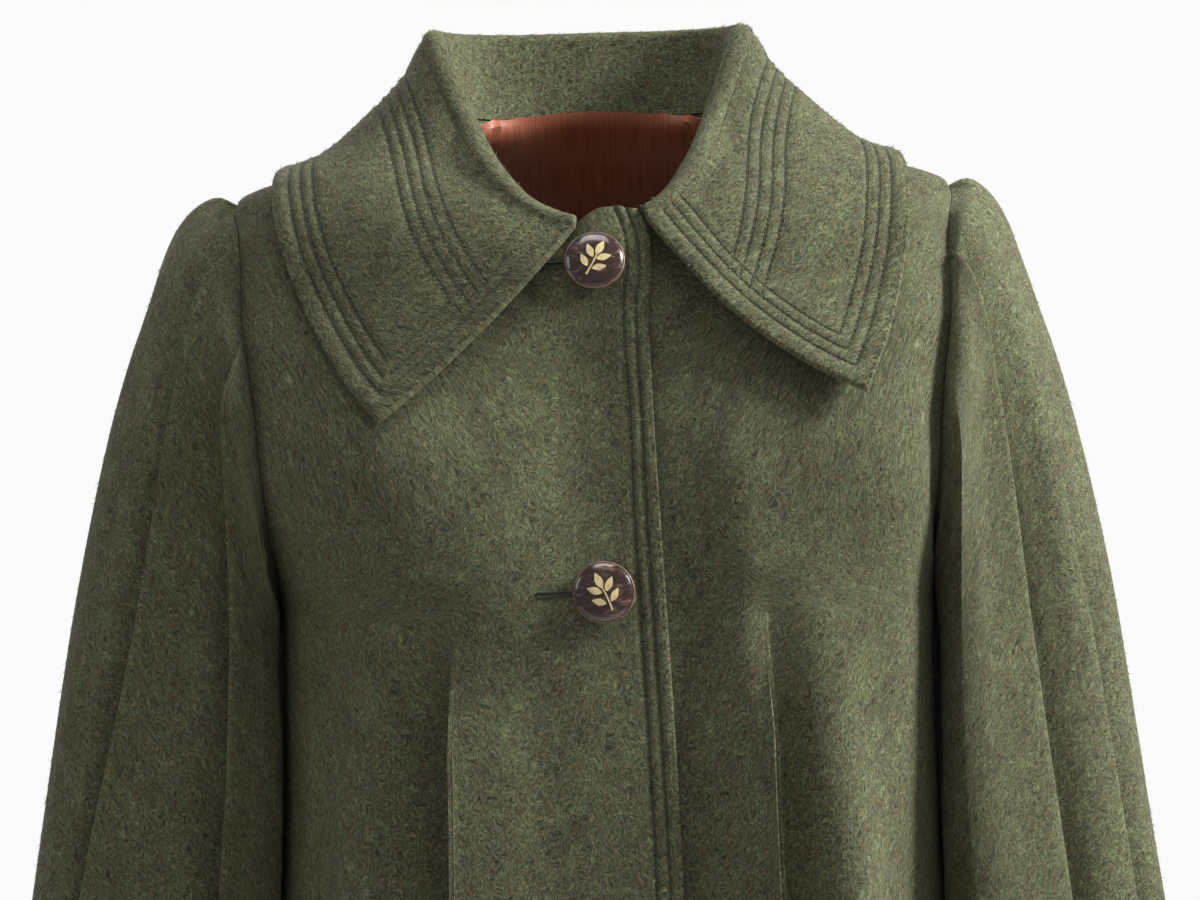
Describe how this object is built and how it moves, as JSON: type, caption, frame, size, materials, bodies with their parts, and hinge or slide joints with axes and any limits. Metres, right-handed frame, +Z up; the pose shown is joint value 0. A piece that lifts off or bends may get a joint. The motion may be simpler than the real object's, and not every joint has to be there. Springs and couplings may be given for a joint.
{
  "type": "loden coat",
  "caption": "Knee-length wool loden coat in its worn form: large turned-down collar with stitched edges, lapped button front, a released pleat on each front and wide pleated bell sleeves.",
  "frame": {"origin": "the middle of the neck, level with the points where the shoulder seams meet the collar", "axes": "X to the wearer's left, Y to the back, Z up"},
  "size_m": [0.68, 0.5058, 1.1102],
  "materials": {
    "loden": "heathered green fulled wool with a brushed nap",
    "lining": "rust-coloured satin",
    "button": "polished dark brown imitation horn"
  },
  "bodies": {
    "root": {"front_right": "loden", "front_left": "loden", "back": "loden", "sleeve_right": "loden", "sleeve_left": "loden", "collar": "loden", "back_neck_lining": "lining", "button_1": "button", "button_2": "button", "button_3": "button", "button_4": "button", "button_5": "button"}
  },
  "joints": []
}
